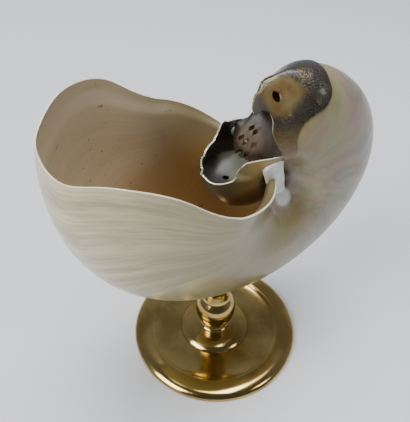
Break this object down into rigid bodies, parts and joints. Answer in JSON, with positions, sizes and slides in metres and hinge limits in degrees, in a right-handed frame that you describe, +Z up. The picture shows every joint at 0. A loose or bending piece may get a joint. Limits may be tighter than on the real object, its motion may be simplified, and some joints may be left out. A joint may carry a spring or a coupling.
{
  "type": "carved nautilus shell on stand",
  "caption": "Polished nautilus shell with an open mouth and a carved, pierced inner whorl, standing on a round turned brass foot with a baluster stem.",
  "frame": {"origin": "centre of the foot's flat underside", "axes": "+Z up along the stem, the shell's mouth opens towards -X and +Z, the shell's width runs along Y"},
  "size_m": [0.1536, 0.099, 0.1724],
  "materials": {
    "pearl_shell": "polished ivory shell with pearly nacre, tan inside",
    "turned_brass": "turned brass, polished and slightly aged"
  },
  "bodies": {
    "root": {"nautilus_shell": "pearl_shell", "brass_foot": "turned_brass", "brass_stem": "turned_brass"}
  },
  "joints": []
}
